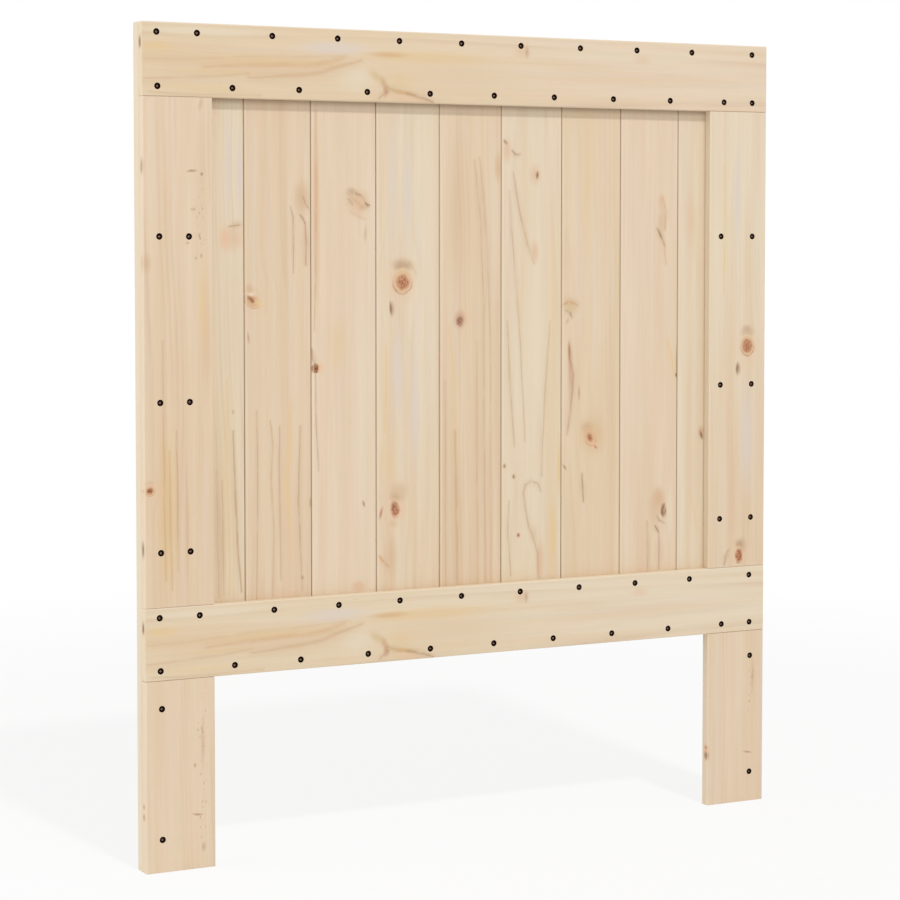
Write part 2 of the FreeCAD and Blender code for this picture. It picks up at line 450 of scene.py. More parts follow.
def knot(at, wide, tall, lean=0.0, heart=0.55, dark=0.9, body=0.8, rim=0.6, hood=0.5, tints=RED_HEART):
    shape = dict(oval_shape(wide, tall, lean), Heart=heart, Dark=dark, Body=body, Rim=rim, Hood=hood,
                 Deep=tints[0], Light=tints[1])
    return dict(kind="knot", at=[at], shape=shape)


def stroke(at, wide, colour, strength=0.7):
    return dict(kind="stroke", at=at, wide=wide, colour=colour, strength=strength)


def patch(at, wide, tall, colour, strength=0.6, edge=0.0, lean=0.0, under=None):
    """An oval patch; under is how deep below the face its middle lies, for one on a board's side."""
    shape = dict(oval_shape(wide, tall, lean), Edge=edge)
    return dict(kind="patch", at=[at], shape=shape, colour=colour, strength=strength, under=under)


def specks(at, wide, tall, strength):
    shape = oval_shape(wide, tall, 0)
    return dict(kind="specks", at=[at], shape=shape, colour=SMOKE, strength=strength, under=None)


LOOKS = {
    "top_rail": look((-8, 60), 0.012, 6.5, 0.25, SHELL, STRAW, (0.8, 0.1)),
    "bottom_rail": look((-8, 60), 0.012, 6.5, 0.25, CREAM, STRAW, (0.65, 0.1)),
    "left_stile": look((-70, 40), 0.02, 5.6, 0.22, SHELL, SAND, (0.25, 0.85)),
    "right_stile": look((-120, 30), 0, 5.2, 0.12, CREAM, SAND, (0, 0.75)),
    "left_leg_board": look((-70, 45), 0.02, 4.4, 0.15, SHELL, SAND, (0.5, 0.5)),
    "right_leg_board": look((-60, 45), -0.02, 4.4, 0.15, SHELL, SAND, (0.45, 0.4)),
    "left_post": look((-40, 30), 0.01, 4.8, 0.3, CREAM, STRAW, (0, 0.1)),
    "right_post": look((55, 26), 0.01, 5, 0.3, CREAM, STRAW, (0.1, 0.2)),
    "plank_1": look((-60, 30), 0.03, 5, 0.25, CREAM, STRAW, (0.2, 0.45)),
    "plank_2": look((20, 60), -0.01, 6, 0.12, SHELL, SAND, (0.5, 0.6)),
    "plank_3": look((-20, 70), 0, 7.5, 0.08, SHELL, SAND, (0.15, 0.1)),
    "plank_4": look((30, 60), 0, 6, 0.12, CREAM, SAND, (0.15, 0.5)),
    "plank_5": look((60, 26), -0.01, 5.6, 0.15, SHELL, SAND, (0.45, 0.7)),
    "plank_6": look((0, 60), 0.03, 6.5, 0.12, CREAM, STRAW, (0.05, 0.5)),
    "plank_7": look((-40, 40), 0.02, 5.6, 0.12, SHELL, STRAW, (0.45, 0.75)),
    "plank_8": look((10, 50), -0.01, 6.2, 0.08, SHELL, SAND, (0.2, 0.3)),
    "plank_9": look((-30, 60), 0, 6.8, 0.06, CREAM, SAND, (0.1, 0.25)),
}

# The bottom rail shows the same figure as the top one
TWINS = {"bottom_rail": "top_rail"}

MARKS = {}

MARKS["top_rail"] = [
    patch((335, 49), 50, 9, LILAC, 0.8, 0.3),
    patch((630, 56), 170, 8, CREAM, 0.6, 0.3),
    patch((450, 76), 110, 22, SAND, 0.5, 0.2),
    patch((358, 79), 26, 20, CREAM, 0.7, 0.1),
    patch((205, 32.5), 95, 6, CREAM, 0.8, 0.5),
    patch((160, 47), 24, 6, HONEY, 0.8),
    patch((270, 62), 100, 6, HONEY, 0.45),
    stroke([(235, 57.5), (300, 57), (350, 57)], 3, TAN, 0.3),
    stroke([(205, 67), (262, 66), (316, 65), (331, 61.5), (344, 58.5)], 7, AMBER, 0.4),
    stroke([(250, 78), (300, 76), (323, 73), (346, 65.5), (362, 61)], 6, TAN, 0.6),
    patch((428, 58), 95, 9, HONEY, 0.55, 0.4),
    patch((389, 55.5), 28, 4, AMBER, 0.5, 0.2),
    patch((400, 80), 24, 11, HONEY, 0.5),
    patch((377, 77), 13, 6.5, OLIVE, 0.7, lean=35),
    patch((384, 84), 4.5, 9, TAN, 0.9, lean=-20),
    patch((386.7, 91), 4.5, 8, RUST, 0.75, lean=12),
    stroke([(386, 92), (383, 95), (379, 99)], 3, LINE),
    stroke([(388, 89), (393, 90), (400, 92)], 3, SMOKE, 0.8),
    stroke([(388, 89.5), (400, 91.8), (416, 94.8)], 6, OLIVE, 0.9),
    patch((404, 93.3), 15, 3, AMBER, 0.5, lean=8),
    patch((409, 99), 34, 4.5, PEACH, 0.45, lean=5),
    stroke([(407, 94), (424, 98.6), (433, 102)], 3.4, SMOKE, 0.75),
    patch((522, 52), 13, 9, BLUSH, 0.7),
    patch((526.5, 53), 3, 8, SMOKE, 0.5),
    patch((641, 60.5), 14, 7, BLUSH, 0.5),
    stroke([(146, 59.5), (175, 60), (225, 59)], 3.6, TAN, 0.3),
    stroke([(146, 79), (172, 78), (215, 77), (250, 74)], 4.4, LINE, 0.3),
    stroke([(150, 92), (187, 95), (262, 96)], 3.6, LINE, 0.3),
    patch((200, 88), 60, 4, HONEY, 0.4),
    patch((215, 72), 60, 4, HONEY, 0.4),
    patch((143.6, 42.5), 4, 8, BARK, 0.9, 0.2, under=6),
]

MARKS["left_stile"] = [
    patch((202, 104), 3.2, 9, TAN, 0.6, 0.1, lean=15),
    stroke([(189, 171), (197, 170.3)], 2.2, SMOKE, 0.9),
    patch((202.6, 174), 2, 2.4, BARK, 0.7, 0.3),
    specks((201, 215), 9, 60, 0.9),
    patch((194, 209), 4, 2.4, SMOKE, 0.5),
    patch((188.5, 242), 2.6, 1.8, SMOKE),
    patch((202, 255), 2.2, 3, SMOKE),
    patch((196.5, 257.5), 2.4, 2.2, SMOKE, 0.5),
    patch((143.6, 166), 3, 10, SMOKE, 0.9, 0.2, under=3),
    patch((146, 262), 8, 12, TAN, 0.6, 0.1),
    patch((203, 170), 13, 100, TAN, 0.25),
    patch((206.5, 335), 7, 85, AMBER, 0.3),
    patch((203, 305), 6, 55, HONEY, 0.7),
    patch((167, 510), 13, 110, HONEY, 0.8, 0.1),
    patch((166, 520), 10, 110, TAN, 0.2),
    stroke([(163, 340), (163.5, 460), (165, 580)], 2.4, LINE, 0.5),
    stroke([(176, 430), (177.5, 500), (177, 570)], 2.4, SMOKE, 0.5),
    stroke([(169, 450), (170, 520), (171, 590)], 2.4, LINE, 0.5),
    stroke([(186, 470), (187, 580)], 2.8, TAN, 0.5),
    knot((149.3, 490.5), 7, 6.5, heart=0.5, dark=1, body=0.9, rim=0.7, hood=0.3, tints=RUST_HEART),
    patch((143.6, 550), 3, 10, BARK, 0.9, 0.2, under=5),
]

MARKS["right_stile"] = [
    patch((715, 330), 10, 280, CREAM),
    patch((736.5, 195), 6.5, 70, LILAC, 0.9),
    patch((747, 435), 12, 80, LILAC, 0.9),
    stroke([(723.5, 165), (724, 230), (723.5, 292)], 4, HONEY, 0.8),
    patch((732, 490), 7, 85, BLUSH),
    patch((746.5, 326.5), 7, 5, SMOKE, 0.4),
    knot((747, 344.5), 11.5, 13.5, heart=0.68, dark=0.85, body=0.95, rim=1, hood=0.6),
    patch((749, 342), 4, 6, RUST),
    patch((738, 367), 4, 9, SMOKE, 0.75, 0.2),
    stroke([(737.3, 362), (736.6, 371)], 2.4, BARK),
    patch((742.5, 544), 7, 11, SMOKE, 0.5, 0.1),
    knot((739.6, 554.3), 6.4, 11, heart=0.9, dark=1, rim=0, hood=0.9),
    stroke([(729.5, 549), (726.5, 556), (725, 564)], 3, SMOKE, 0.9),
]

MARKS["left_leg_board"] = [
    specks((200, 728), 9, 60, 0.9),
    specks((200, 810), 9, 70, 0.6),
    patch((193, 767), 2.2, 3, SMOKE, 0.7),
    stroke([(191, 817), (200, 817.5)], 2, SMOKE, 0.8),
    patch((201.5, 850), 3, 6, SMOKE, 0.5),
    patch((201, 745), 3, 32, RUST, 0.3, 0.1),
    patch((143.6, 811), 3, 4, RUST, 0.7, 0.1, under=7),
    patch((143.6, 822), 3, 5, RUST, 0.8, 0.1, under=7),
]

MARKS["right_leg_board"] = [
    specks((753, 690), 8, 50, 0.9),
    specks((756, 770), 5, 30, 0.6),
    stroke([(746, 753), (753, 753.3)], 2, SMOKE, 0.8),
    patch((754, 676), 3, 24, RUST, 0.3, 0.1),
    patch((709, 754), 5, 13, PEACH, 0.9, 0.2),
    patch((708.8, 757), 3.4, 6, BARK, 0.7, 0.1),
    patch((708.8, 749), 2.4, 3, RUST, 0.6, 0.1),
]

MARKS["plank_1"] = [
    patch((228, 310), 18, 140, TAN, 0.13),
    patch((229, 160), 5.5, 65, LILAC, 0.8),
    patch((240.5, 175), 5.5, 60, LILAC, 0.9),
    patch((234, 237), 16, 17, BLUSH, 0.7, 0.2),
    patch((225, 238), 6.5, 16, PEACH, 0.7, 0.1),
    patch((238, 223.5), 10, 6, TAN, 0.35),
    stroke([(229, 226), (235, 225.3), (241, 224.3)], 1.8, SMOKE, 0.75),
    patch((233, 411), 2, 3, SMOKE),
    patch((219, 500), 10, 110, TAN, 0.3),
    stroke([(216, 470), (217, 540), (218, 598)], 2.6, LINE, 0.5),
    stroke([(222, 480), (222.5, 540), (223, 595)], 2.4, LINE, 0.5),
    stroke([(233, 430), (235, 490), (237, 545), (240.5, 592)], 3.4, LINE, 0.8),
    patch((238, 400), 5, 120, CREAM, 0.5),
    stroke([(227, 380), (227, 480), (228.5, 595)], 4, HONEY),
]

MARKS["plank_2"] = [
    patch((302.5, 197), 12, 22, TAN, 0.6, 0.2),
    stroke([(303.5, 196), (306, 203), (309.5, 208)], 2.4, SMOKE, 0.6),
    stroke([(300.5, 214), (303, 217.5), (305.5, 223)], 2.2, BARK, 0.5),
    stroke([(305.5, 222), (306.5, 240), (306, 264)], 3.6, RUST, 0.6),
    stroke([(291, 206), (293.5, 216), (294, 245), (294, 272)], 2.2, SMOKE, 0.6),
    patch((249, 288.5), 6, 7, TAN, 0.7),
    knot((252.5, 300), 12, 8.5, lean=35, heart=0.3, dark=1, hood=0.1),
    # painted highlight on the top of the knot
    patch((251, 293.5), 7, 3, PAINTED_HIGHLIGHT, 0.7),
    patch((259.5, 302.5), 7, 4.5, HONEY, 0.9, 0.2, lean=35),
    patch((251, 298), 6, 3.2, RUST, 1, lean=40),
    patch((250.8, 297.8), 4.5, 1.8, BARK, 0.6, lean=40),
    stroke([(248, 332), (248.8, 342)], 2.2, SMOKE, 0.6),
    stroke([(256.5, 410), (257.5, 470), (256, 600)], 2.4, LINE, 0.6),
    stroke([(270, 420), (273, 445), (271, 475), (273.5, 530), (272, 596)], 3.2, TAN),
    stroke([(279.5, 425), (279, 470), (280.5, 580)], 2.4, LINE, 0.6),
    stroke([(290.5, 400), (290, 440), (286.5, 480), (291, 560)], 4, HONEY, 0.8),
    stroke([(300, 425), (298, 500), (302, 590)], 2.8, LINE),
    patch((302, 577), 2.2, 2.8, SMOKE, 0.8),
    stroke([(310, 497), (310, 507)], 2.2, SMOKE),
]

MARKS["plank_3"] = [
    patch((316, 200), 4.5, 110, BLUSH, 0.9, 0.1),
    patch((362, 390), 9, 260, CREAM, 0.7),
    stroke([(316.6, 112), (316.6, 200), (315.6, 290), (314.2, 330)], 2.8, AMBER, 0.55),
    patch((358, 202), 16, 17, BLUSH, 0.8, 0.2, lean=-25),
    patch((352, 191), 7.5, 5.5, SMOKE, 0.5, 0.1, lean=20),
    stroke([(348, 193), (357, 201), (363, 207)], 4, TAN),
    stroke([(355, 191), (363, 197), (368, 206)], 5, TAN, 0.6),
    patch((363, 207), 7, 5, TAN, 0.5),
    stroke([(351, 211), (358, 215), (366, 219)], 3, TAN, 0.45),
    stroke([(349, 198), (351, 201), (353, 204)], 2.4, SMOKE, 0.9),
    stroke([(356.5, 193), (358.5, 194.2), (361, 194.4)], 2, BARK, 0.6),
    stroke([(365.5, 202.5), (367.5, 204.3), (370, 204.3)], 2.2, BARK, 0.75),
    stroke([(366, 226), (365.5, 240)], 2.8, SMOKE, 0.4),
    patch((320, 367), 6, 7, PEACH),
    knot((315.5, 367), 5.2, 6, heart=1, dark=1, body=0.5, rim=0, hood=0, tints=RUST_HEART),
    stroke([(312, 348), (313, 357), (315, 364)], 3, SMOKE, 1),
    # painted highlight on the arris beside the joint
    stroke([(313.2, 374), (313.5, 400), (314, 422)], 2, PAINTED_HIGHLIGHT, 0.8),
    stroke([(315.4, 373), (316, 420), (318.5, 470)], 2, SMOKE, 0.6),
    patch((338, 345), 10, 36, HONEY, 0.5),
    stroke([(362.8, 500.5), (364.3, 505.5)], 2.6, SMOKE, 0.9),
    patch((358, 586), 10, 8, BLUSH, 0.9, 0.3),
]

MARKS["plank_4"] = [
    patch((393, 180), 5.5, 85, LILAC, 0.8),
    patch((408, 190), 7, 70, LILAC, 0.9),
    patch((397.5, 370), 8.5, 60, LILAC, 0.9),
    patch((415, 410), 6.5, 75, LILAC, 0.9),
    patch((430, 250), 9, 200, CREAM, 0.5),
    stroke([(386, 345), (386.5, 385), (384.5, 432)], 5, HONEY, 0.8),
    stroke([(409, 262), (414, 267), (416, 273)], 4, TAN, 0.4),
    knot((402.6, 281.3), 14.5, 15, heart=0.6, dark=0.95, body=0.9, rim=0.9, hood=1),
    patch((392.3, 308), 3.8, 10, SMOKE, 0.6, 0.2),
    stroke([(390.3, 301), (391.3, 313)], 2.4, BARK, 0.8),
    patch((399, 491), 14, 14, TAN, 0.5, 0.2),
    patch((396.5, 497.5), 10, 6, SMOKE, 0.3),
    patch((401, 508), 9, 14, PEACH, 0.3),
    knot((395.2, 508.5), 7.5, 12, lean=-6, heart=0.8, rim=0, hood=0.3),
    patch((393.5, 505), 3.5, 6, BARK, 0.5),
    patch((393, 523), 8, 5, OLIVE, 0.5),
    stroke([(382, 507), (379.5, 518)], 2.8, RUST, 0.8),
    stroke([(379, 556), (383, 561), (388, 566)], 4, AMBER, 0.8),
    patch((391, 556), 9, 28, TAN, 0.45),
    patch((386, 460), 12, 30, HONEY, 0.4),
]

MARKS["plank_5"] = [
    patch((456, 200), 12, 110, TAN, 0.35),
    patch((493, 210), 10, 100, CREAM, 0.5),
    stroke([(474.5, 160), (478, 195), (481, 225), (483.5, 300), (484.5, 470), (485.5, 596)],
           2.8, LINE, 0.5),
    stroke([(479.5, 157), (483, 193), (487.5, 250), (490.5, 350), (491.5, 596)], 2.8, LINE, 0.4),
    stroke([(477, 340), (477, 460), (477.5, 596)], 2.6, LINE, 0.4),
    stroke([(498, 300), (499, 450), (499, 590)], 2.8, TAN, 0.3),
    patch((498, 167), 5.5, 20, AMBER, 0.45, 0.2),
    patch((462, 317), 11, 14, PEACH, 0.5),
    patch((460, 318), 8.5, 11, PLUM, 0.75),
    knot((459.8, 320), 5, 6.2, heart=1, body=0, rim=0, hood=0, tints=PLUM_HEART),
    stroke([(449.5, 325), (453.5, 370), (454.5, 440), (455.5, 480)], 3.4, HONEY, 0.9),
    stroke([(455, 430), (456.5, 500), (457.5, 592)], 6, TAN, 0.8),
    stroke([(445, 380), (445.5, 500), (446, 585)], 2.4, LINE, 0.5),
]

MARKS["plank_6"] = [
    patch((533, 340), 16, 120, CREAM, 0.8),
    patch((507, 150), 8, 16, BLUSH, 0.8, 0.1),
    stroke([(503.5, 140), (506.5, 143.5)], 3.2, SMOKE, 0.9),
    stroke([(512, 150.5), (515, 154), (520, 153.5)], 2.6, SMOKE, 0.9),
    patch((535, 174), 9, 14, BLUSH, 0.8, 0.1),
    patch((537, 174.5), 3, 4.5, SMOKE, 0.9, 0.1),
    stroke([(537.6, 171), (536.6, 178)], 2.2, BARK, 0.6),
    stroke([(513, 172), (516, 192), (521, 218), (527, 242), (534, 262)], 2.8, LINE, 0.6),
    patch((534.5, 251), 6, 15, BLUSH, 0.9, 0.1),
    stroke([(509, 190), (511, 225), (516, 283), (520, 340), (525, 440)], 2.4, LINE, 0.5),
    stroke([(507, 320), (510, 380), (514.5, 445)], 2.6, LINE, 0.6),
    stroke([(550, 320), (545, 390), (541.5, 475)], 2.6, LINE, 0.5),
    patch((552.5, 300), 5, 140, HONEY, 0.4),
    patch((559.3, 466), 3.5, 40, HONEY, 1),
    patch((553, 536), 6.5, 55, HONEY, 0.9),
    patch((540.5, 560), 6, 30, BLUSH, 0.9, 0.2),
    patch((504.5, 465), 3.4, 4.2, TAN, 0.8, 0.2),
    patch((504.6, 465), 1.8, 2.4, BARK),
    patch((513.8, 475.4), 3, 4.2, TAN, 0.8, 0.2),
    patch((513.8, 475.4), 1.7, 2.6, BARK, 0.7),
    patch((518.4, 534.5), 4.2, 4.8, PEACH, 0.9, 0.2),
    patch((518.4, 534.5), 2.3, 2.9, BARK, 0.8, 0.1),
    stroke([(541, 490), (538, 482.5), (531, 479.5), (525.5, 484), (523.5, 492), (525.5, 507),
            (529, 526), (534.5, 541), (538, 552), (538.6, 577)], 2.8, LINE, 0.6),
    patch((534, 533), 6, 12, TAN, 0.35),
    stroke([(509, 500), (508, 530), (511, 575)], 2.6, LINE, 0.6),
]

MARKS["plank_7"] = [
    patch((587, 180), 8, 90, HONEY, 0.4),
    patch((571, 305), 13, 12, OLIVE, 0.6, 0.2),
    stroke([(563, 303.5), (568, 301), (577, 303.5)], 5.5, TAN, 0.8),
    stroke([(564, 302), (570, 300.5), (575, 302)], 2.4, AMBER, 0.5),
    stroke([(566, 309), (570.5, 312), (572, 317)], 3, SMOKE, 0.6),
    stroke([(569.5, 311), (571.4, 315.5)], 2.2, BARK, 0.4),
    stroke([(568, 317), (566.5, 322)], 2.4, TAN, 0.8),
    patch((570.5, 368), 4.5, 36, RUST, 0.4, 0.1),
    stroke([(568.6, 341), (569.6, 358)], 3.2, RUST, 0.9),
    stroke([(569, 356), (573, 372), (572.5, 390), (570, 412), (567, 433)], 3.2, RUST, 0.6),
    stroke([(579, 385), (579, 398)], 2.2, RUST, 0.5),
    patch((592, 433), 20, 26, OLIVE, 0.75),
    patch((588, 427), 9, 8, TAN, 0.8, lean=-30),
    patch((590.5, 436.5), 10, 14, PEACH, 0.5, lean=-28),
    knot((590, 436), 8.5, 12, lean=-28, heart=0.45, dark=1, body=0.65, rim=0.9, hood=0.2),
    patch((594.5, 443.5), 4.5, 7, PEACH, 0.8, lean=-35),
    stroke([(594.5, 444.5), (597, 446.5)], 2.4, SMOKE, 0.9),
    stroke([(563, 463.5), (566, 468)], 2.6, SMOKE, 0.9),
    stroke([(582.3, 472), (583, 486), (583.6, 500)], 2.8, SMOKE, 0.9),
    patch((611, 400), 8, 130, TAN, 0.2),
]

MARKS["plank_8"] = [
    patch((660.5, 201), 5, 11, BLUSH, 0.9, 0.1),
    patch((661, 222), 7, 20, TAN, 0.45, 0.1),
    stroke([(662, 196), (665, 212), (664.5, 228)], 3.2, AMBER),
    stroke([(656.5, 227.5), (660.5, 235.5), (664, 244)], 3.2, SMOKE, 0.9),
    stroke([(658, 230), (661.5, 238)], 2.4, BARK, 0.5),
    stroke([(662, 236), (664, 247), (665.5, 263)], 3.6, AMBER, 0.5),
    stroke([(667.5, 338), (671, 355), (674.5, 375)], 4, HONEY, 0.9),
    stroke([(676.4, 345), (676.4, 374)], 2.2, SMOKE, 0.6),
    patch((676.3, 373), 2.2, 3, BARK, 0.8, 0.2),
    patch((657, 507), 13, 27, TAN, 0.45, 0.2),
    patch((659, 498), 10, 16, BLUSH, 0.8, 0.2),
    patch((659, 496), 9, 13, TAN, 0.5, 0.1),
    patch((660.5, 517), 3.5, 5, CREAM),
    knot((663.6, 509), 4, 9, heart=1.1, dark=0.5, body=0.3, rim=0, hood=0, tints=DARK_HEART),
    stroke([(665.2, 502), (662.6, 508.5)], 2.2, BARK),
    stroke([(662.4, 508), (663.2, 514)], 2.4, BARK, 0.8),
    stroke([(666.2, 506), (666, 514)], 2, BARK, 0.6),
    stroke([(657.8, 515), (660, 519), (665, 522)], 2.2, SMOKE, 0.8),
    patch((670.5, 510), 5, 40, CREAM, 0.7, 0.4),
    stroke([(655.7, 525), (657.5, 528), (659.5, 531.5)], 3, SMOKE, 1),
    stroke([(659.6, 534), (659.8, 550), (659.4, 568)], 4, RUST, 0.5),
    stroke([(647.5, 520), (648.5, 545), (648.3, 570)], 2.8, LINE),
]

MARKS["plank_9"] = [
    patch((690, 218), 9, 40, BLUSH, 0.5),
    patch((701, 431), 5, 9.5, TAN, 0.8, 0.2),
    stroke([(700.4, 430), (702.4, 437)], 2.6, BARK, 0.8),
    stroke([(690, 490), (693, 505), (698, 530)], 4, HONEY, 0.5),
]

GROUPS = {
    "bend": make_bend_group(),
    "knot": make_knot_group(),
    "stroke": make_stroke_group(),
    "patch": make_patch_group(),
    "specks": make_speck_group(),
    "pine": make_pine_group(),
}


class Board:
    """One board's place, grain direction and coordinates in millimetres."""

    def __init__(self, name, graph):
        low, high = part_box(name)
        self.lying = name.endswith("rail")
        self.face_y = low[1]
        across, along = (2, 0) if self.lying else (0, 2)
        # a board with a twin is read at the twin's height
        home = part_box(TWINS[name])[0][2] if name in TWINS else low[2]
        lift = (home - low[2]) / mm
        self.middle = (low[across] + high[across]) / 2 / mm + lift
        self.half_width = (high[across] - low[across]) / 2 / mm
        self.ends = (low[along] / mm, high[along] / mm)

        split = graph.node("ShaderNodeSeparateXYZ")
        graph.feed(split.inputs[0], graph.node("ShaderNodeTexCoord").outputs["Object"])
        self.right = graph.over(split.outputs["X"], mm)
        self.up = graph.plus(graph.over(split.outputs["Z"], mm), lift)
        self.depth = graph.over(graph.minus(split.outputs["Y"], self.face_y), mm)
        across, self.along = (self.up, self.right) if self.lying else (self.right, self.up)
        self.across = graph.minus(across, self.middle)

    def nudged(self, graph, seed):
        """The same face place, pushed about a little so that marks have uneven edges."""
        across_grain = 10.0
        along_grain = 45.0
        reach_mm = (0.9, 1.3)
        spread = (along_grain, across_grain) if self.lying else (across_grain, along_grain)
        point = graph.vector(
            graph.over(self.right, spread[0]),
            graph.plus(graph.over(self.depth, across_grain), seed),
            graph.over(self.up, spread[1]),
        )
        split = graph.node("ShaderNodeSeparateColor")
        graph.feed(split.inputs[0], graph.noise(point, 1.5, output="Color"))
        right = graph.plus(self.right, graph.swing(split.outputs[0], reach_mm[0]))
        up = graph.plus(self.up, graph.swing(split.outputs[1], reach_mm[1]))
        return right, up

    def grit(self, graph, right_mm, up_mm, layer, detail=1.0):
        """Small uneven spots on the face, for cracks and broken lines."""
        place = graph.vector(graph.over(self.right, right_mm), graph.over(self.up, up_mm), layer)
        return graph.noise(place, detail)


def bent_rings(graph, board, marks):
    """The across place for the rings, after every knot has pushed the grain aside."""
    ring_across = board.across
    for mark in marks:
        if mark["kind"] != "knot":
            continue
        x, z = face_place(mark["at"][0], board.face_y)
        place = (z - board.middle, x) if board.lying else (x - board.middle, z)
        ring_across = graph.call(
            GROUPS["bend"], Across=ring_across, Along=board.along, X=place[0], Z=place[1],
            Wide=mark["shape"]["Wide"], Tall=mark["shape"]["Tall"])["Across"]
    return ring_across


def tick_mask(graph, spot, places, wide):
    """A slim leaning oval from one place to the other, faint at both ends."""
    (x1, z1), (x2, z2) = places
    tall = math.hypot(x2 - x1, z2 - z1) * 0.55 + wide * 0.4
    return graph.call(
        GROUPS["patch"], **spot, X=(x1 + x2) / 2, Z=(z1 + z2) / 2, Wide=wide * 0.8, Tall=tall,
        Lean=-math.atan2(x2 - x1, z2 - z1), Edge=0.15)["Mask"]


def stroke_mask(graph, spot, places, wide, broken):
    """A stroke through all the places, thin at both ends."""
    last = len(places) - 1
    if last == 1:
        return tick_mask(graph, spot, places, wide)
    widths = [wide * (1.0 if 0 < index < last else 0.5) for index in range(len(places))]
    mask = None
    for index in range(last):
        start, end = places[index], places[index + 1]
        piece = graph.call(
            GROUPS["stroke"], **spot, X=start[0], Z=start[1], X2=end[0], Z2=end[1],
            Wide=widths[index], Wide2=widths[index + 1], Broken=broken)["Mask"]
        mask = piece if mask is None else graph.math("MAXIMUM", mask, piece)
    return mask


def plank_edges(graph, board, colour):
    """Painted shade: both long edges of a plank darkened brown at the joint; and a painted highlight along
    the arris beside the left one.
    """
    joint_shade_reach = 1.5
    edge = graph.minus(board.half_width, graph.math("ABSOLUTE", board.across))
    joint_shade = graph.smooth(edge, joint_shade_reach, 0.2, 0.0, 0.2)
    colour = graph.mix(joint_shade, colour, SMOKE)
    return painted_arris_highlight(graph, board, colour, 2.6)


def painted_arris_highlight(graph, board, colour, place):
    """A painted highlight: a pale line along the left edge of a standing board or the upper edge of a lying
    one.
    """
    reach = 1.3
    if board.lying:
        inset = graph.minus(board.half_width, board.across)
    else:
        inset = graph.plus(board.across, board.half_width)
    arris = graph.bump(inset, place - reach, place, place + reach)
    return graph.mix(graph.times(arris, 0.45), colour, PAINTED_HIGHLIGHT)


def corner_painted_shade(graph, board, colour):
    """Painted shade: the wood darkened in the front corners that the planks make with the top rail and the
    stiles.
    """
    rail_reach = 8.5
    rail_share = 0.46
    stile_reach = 4.0
    stile_share = 0.14
    below = graph.minus(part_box("top_rail")[0][2] / mm, board.up)
    painted_shade = graph.times(graph.bump(below, -2.0, 0.3, rail_reach), rail_share)
    from_left = graph.minus(board.right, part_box("left_stile")[1][0] / mm)
    from_right = graph.minus(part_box("right_stile")[0][0] / mm, board.right)
    beside = graph.math("MINIMUM", from_left, from_right)
    beside = graph.times(graph.bump(beside, -2.0, 0.0, stile_reach), stile_share)
    painted_shade = graph.math("MAXIMUM", painted_shade, beside)
    return graph.mix(graph.times(painted_shade, shallow_part(graph, board)), colour, SHADE)


def shallow_part(graph, board):
    """1 near the board's front face, 0 in the wood well behind it."""
    return graph.smooth(board.depth, 10.0, 4.0)


def plain_sides(graph, board, colour):
    """Paler wood on the long sides, and on the ends: cream on lying boards, brown on standing ones."""
    facing = graph.node("ShaderNodeSeparateXYZ")
    graph.feed(facing.inputs[0], graph.node("ShaderNodeNewGeometry").outputs["True Normal"])
    endwise = graph.math("ABSOLUTE", facing.outputs["X" if board.lying else "Z"])
    end_colour, end_share = (CREAM, 0.6) if board.lying else (TAN, 0.2)
    colour = graph.mix(graph.smooth(endwise, 0.6, 0.9, 0.0, end_share), colour, end_colour)
    sideways = graph.math("ABSOLUTE", facing.outputs["Z" if board.lying else "X"])
    return graph.mix(graph.smooth(sideways, 0.7, 0.95, 0.0, 0.6), colour, CREAM)


def plain_pine(graph, board, marks, seed, wood, shares):
    """A board's plain pine, with its rings bent round the knots among the marks."""
    start, end = board.ends if board.lying else reversed(board.ends)
    warmth = graph.smooth(board.along, start, end, *shares)
    return graph.call(GROUPS["pine"], **wood, **{
        "Across": board.across, "Ring Across": bent_rings(graph, board, marks),
        "Depth": board.depth, "Along": board.along, "Seed": seed, "Warmth": warmth})


def spot_mask(graph, board, mark, spot, shallow):
    """Where a patch or specks show: near the front, or on a board's side round the patch's depth."""
    side_reach = 6.0
    mask = graph.call(GROUPS[mark["kind"]], **spot)["Mask"]
    under = mark["under"]
    if under is None:
        return graph.times(mask, shallow)
    return graph.times(mask, graph.bump(board.depth, under - side_reach, under, under + side_reach))


def lay_marks(graph, board, marks, seed, colour, relief):
    """Lays the marks one over another and gives the new colour and relief."""
    shallow = shallow_part(graph, board)
    spot_mm = 6.0
    crack_mm = 2.7
    fading = (30.0, 8.0) if board.lying else (8.0, 30.0)
    broken = graph.smooth(board.grit(graph, *fading, seed, 2.0), 0.3, 0.55, 0.5)
    coarse = board.grit(graph, spot_mm, spot_mm, seed)
    fine = board.grit(graph, crack_mm, crack_mm, seed)
    right, up = board.nudged(graph, seed)
    for mark in marks:
        places = [face_place(pixel, board.face_y) for pixel in mark["at"]]
        spot = {"Right": right, "Up": up}
        if mark["kind"] == "stroke":
            mask = stroke_mask(graph, spot, places, mark["wide"], broken)
            colour = graph.mix(graph.times(mask, shallow, mark["strength"]), colour, mark["colour"])
            continue
        spot.update(mark["shape"], X=places[0][0], Z=places[0][1])
        if mark["kind"] == "knot":
            made = graph.call(GROUPS["knot"], **spot, Color=colour, Coarse=coarse, Fine=fine)
            colour = made["Color"]
            relief = graph.plus(relief, made["Relief"])
            continue
        mask = spot_mask(graph, board, mark, spot, shallow)
        colour = graph.mix(graph.times(mask, mark["strength"]), colour, mark["colour"])
    return colour, relief


